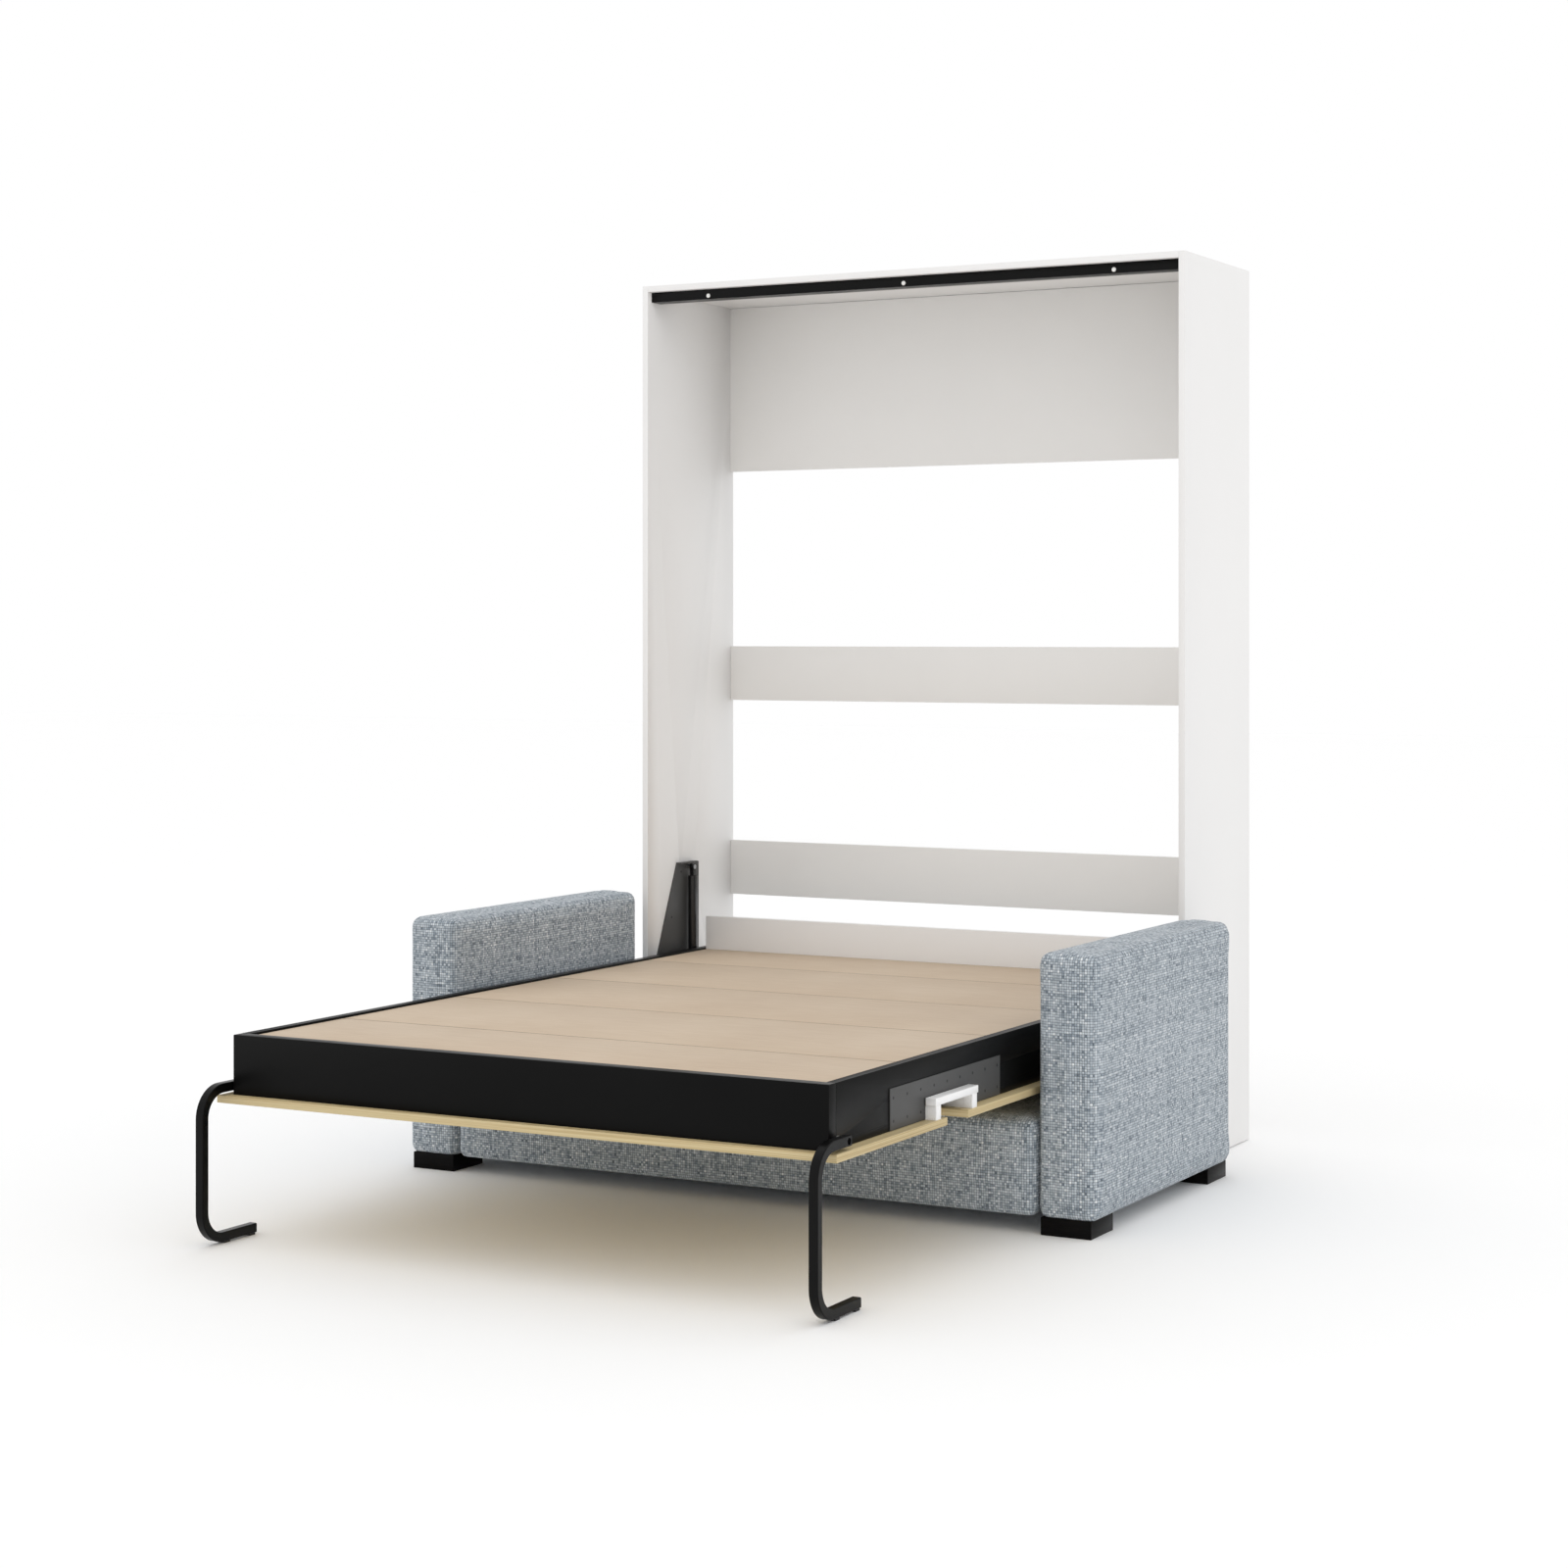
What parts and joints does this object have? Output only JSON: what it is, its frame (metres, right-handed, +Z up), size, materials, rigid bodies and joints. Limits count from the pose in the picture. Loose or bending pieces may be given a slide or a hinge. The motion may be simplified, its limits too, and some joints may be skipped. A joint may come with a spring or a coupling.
{
  "type": "murphy wall bed",
  "caption": "Open wall cabinet with a fold-down bed on side pivots and gas springs, flip legs at the foot and a low upholstered seat between arms.",
  "frame": {"origin": "middle of the whole object's footprint, on the floor, with the bed down", "axes": "+X to the right as seen from the foot of the bed, +Y from the foot of the bed towards the wall, +Z up"},
  "size_m": [1.782, 2.303, 2.214],
  "materials": {
    "white_board": "matt white melamine board",
    "grey_white_board": "matt off-white melamine board",
    "black_plastic": "moulded black plastic",
    "black_steel": "satin black powder coat",
    "white_rubber": "soft white rubber",
    "grey_steel": "dark grey powder-coated plate",
    "zinc_steel": "zinc plated steel",
    "grey_plastic": "moulded grey bearing plastic",
    "raw_timber": "planed pine and plywood",
    "blue_grey_weave": "heathered blue-grey plain weave",
    "black_wood": "black lacquered block",
    "oak_panel": "light oak veneered board",
    "black_rail": "black foil-wrapped board",
    "beige_deck": "beige hardboard with a faint fibre grain",
    "white_handle": "satin white moulded handle",
    "black_cylinder": "gloss black enamel",
    "chrome_rod": "hard chromed rod"
  },
  "bodies": {
    "cabinet": {"cabinet_side_left": "white_board", "cabinet_side_right": "white_board", "cabinet_top": "white_board", "upper_back_board": "grey_white_board", "middle_back_rail": "grey_white_board", "lower_back_rail": "grey_white_board", "floor_back_rail": "grey_white_board", "plinth_board": "white_board", "stop_bar": "black_steel", "stop_bumpers": "white_rubber", "cabinet_glides": "black_plastic", "mechanism_bracket_left": "grey_steel", "mechanism_bracket_right": "grey_steel", "bracket_screws": "zinc_steel", "pivot_bushes": "grey_plastic", "spring_top_pins": "zinc_steel", "sofa_spacers": "raw_timber", "seat_upholstery": "blue_grey_weave", "seat_frame": "raw_timber", "arm_upholstery_left": "blue_grey_weave", "arm_upholstery_right": "blue_grey_weave", "arm_frame_left": "raw_timber", "arm_frame_right": "raw_timber", "sofa_feet_left": "black_wood", "sofa_feet_right": "black_wood"},
    "bed": {"front_panel": "oak_panel", "frame_side_left": "black_rail", "frame_side_right": "black_rail", "frame_foot_rail": "black_rail", "frame_head_rail": "black_rail", "cross_beams": "raw_timber", "deck_board_1": "beige_deck", "deck_board_2": "beige_deck", "deck_board_3": "beige_deck", "deck_board_4": "beige_deck", "deck_board_5": "beige_deck", "headboard": "white_board", "side_plate_left": "grey_steel", "side_plate_right": "grey_steel", "plate_screws": "zinc_steel", "handle_bar_left": "white_handle", "handle_bar_right": "white_handle", "handle_posts": "white_handle", "pivot_plate_left": "grey_steel", "pivot_plate_right": "grey_steel", "pivot_pins": "zinc_steel", "spring_studs": "zinc_steel", "leg_bolts": "zinc_steel", "leg_spacers": "grey_plastic"},
    "leg_left": {"leg_tube_left": "black_steel", "leg_caps_left": "black_plastic"},
    "leg_right": {"leg_tube_right": "black_steel", "leg_caps_right": "black_plastic"},
    "spring_left": {"spring_cylinder_left": "black_cylinder", "rod_guide_left": "grey_plastic"},
    "spring_right": {"spring_cylinder_right": "black_cylinder", "rod_guide_right": "grey_plastic"},
    "rod_left": {"spring_rod_left": "chrome_rod"},
    "rod_right": {"spring_rod_right": "chrome_rod"}
  },
  "joints": [
    {"name": "bed_fold", "type": "hinge", "parent": "cabinet", "child": "bed", "pos_m": [0, 0.7525, 0.357], "axis": [-1, 0, 0], "range_deg": [0, 88.5]},
    {"name": "leg_left_fold", "type": "hinge", "parent": "bed", "child": "leg_left", "pos_m": [-0.729, -1.0233, 0.329], "axis": [-1, 0, 0], "range_deg": [0, 180]},
    {"name": "spring_left_tilt", "type": "hinge", "parent": "cabinet", "child": "spring_left", "pos_m": [-0.73, 0.8965, 0.657], "axis": [-1, 0, 0], "range_deg": [0, 20]},
    {"name": "rod_left_slide", "type": "slide", "parent": "spring_left", "child": "rod_left", "axis": [0, 0, -1], "range_m": [0, 0.153]},
    {"name": "leg_right_fold", "type": "hinge", "parent": "bed", "child": "leg_right", "pos_m": [0.729, -1.0233, 0.329], "axis": [-1, 0, 0], "range_deg": [0, 180]},
    {"name": "spring_right_tilt", "type": "hinge", "parent": "cabinet", "child": "spring_right", "pos_m": [0.73, 0.8965, 0.657], "axis": [-1, 0, 0], "range_deg": [0, 20]},
    {"name": "rod_right_slide", "type": "slide", "parent": "spring_right", "child": "rod_right", "axis": [0, 0, -1], "range_m": [0, 0.153]}
  ],
  "couplings": [
    {"joint": "spring_left_tilt", "follows": "bed_fold", "ratio": 0.22422},
    {"joint": "rod_left_slide", "follows": "bed_fold", "m_per_rad": 0.09896},
    {"joint": "spring_right_tilt", "follows": "bed_fold", "ratio": 0.22422},
    {"joint": "rod_right_slide", "follows": "bed_fold", "m_per_rad": 0.09896}
  ]
}
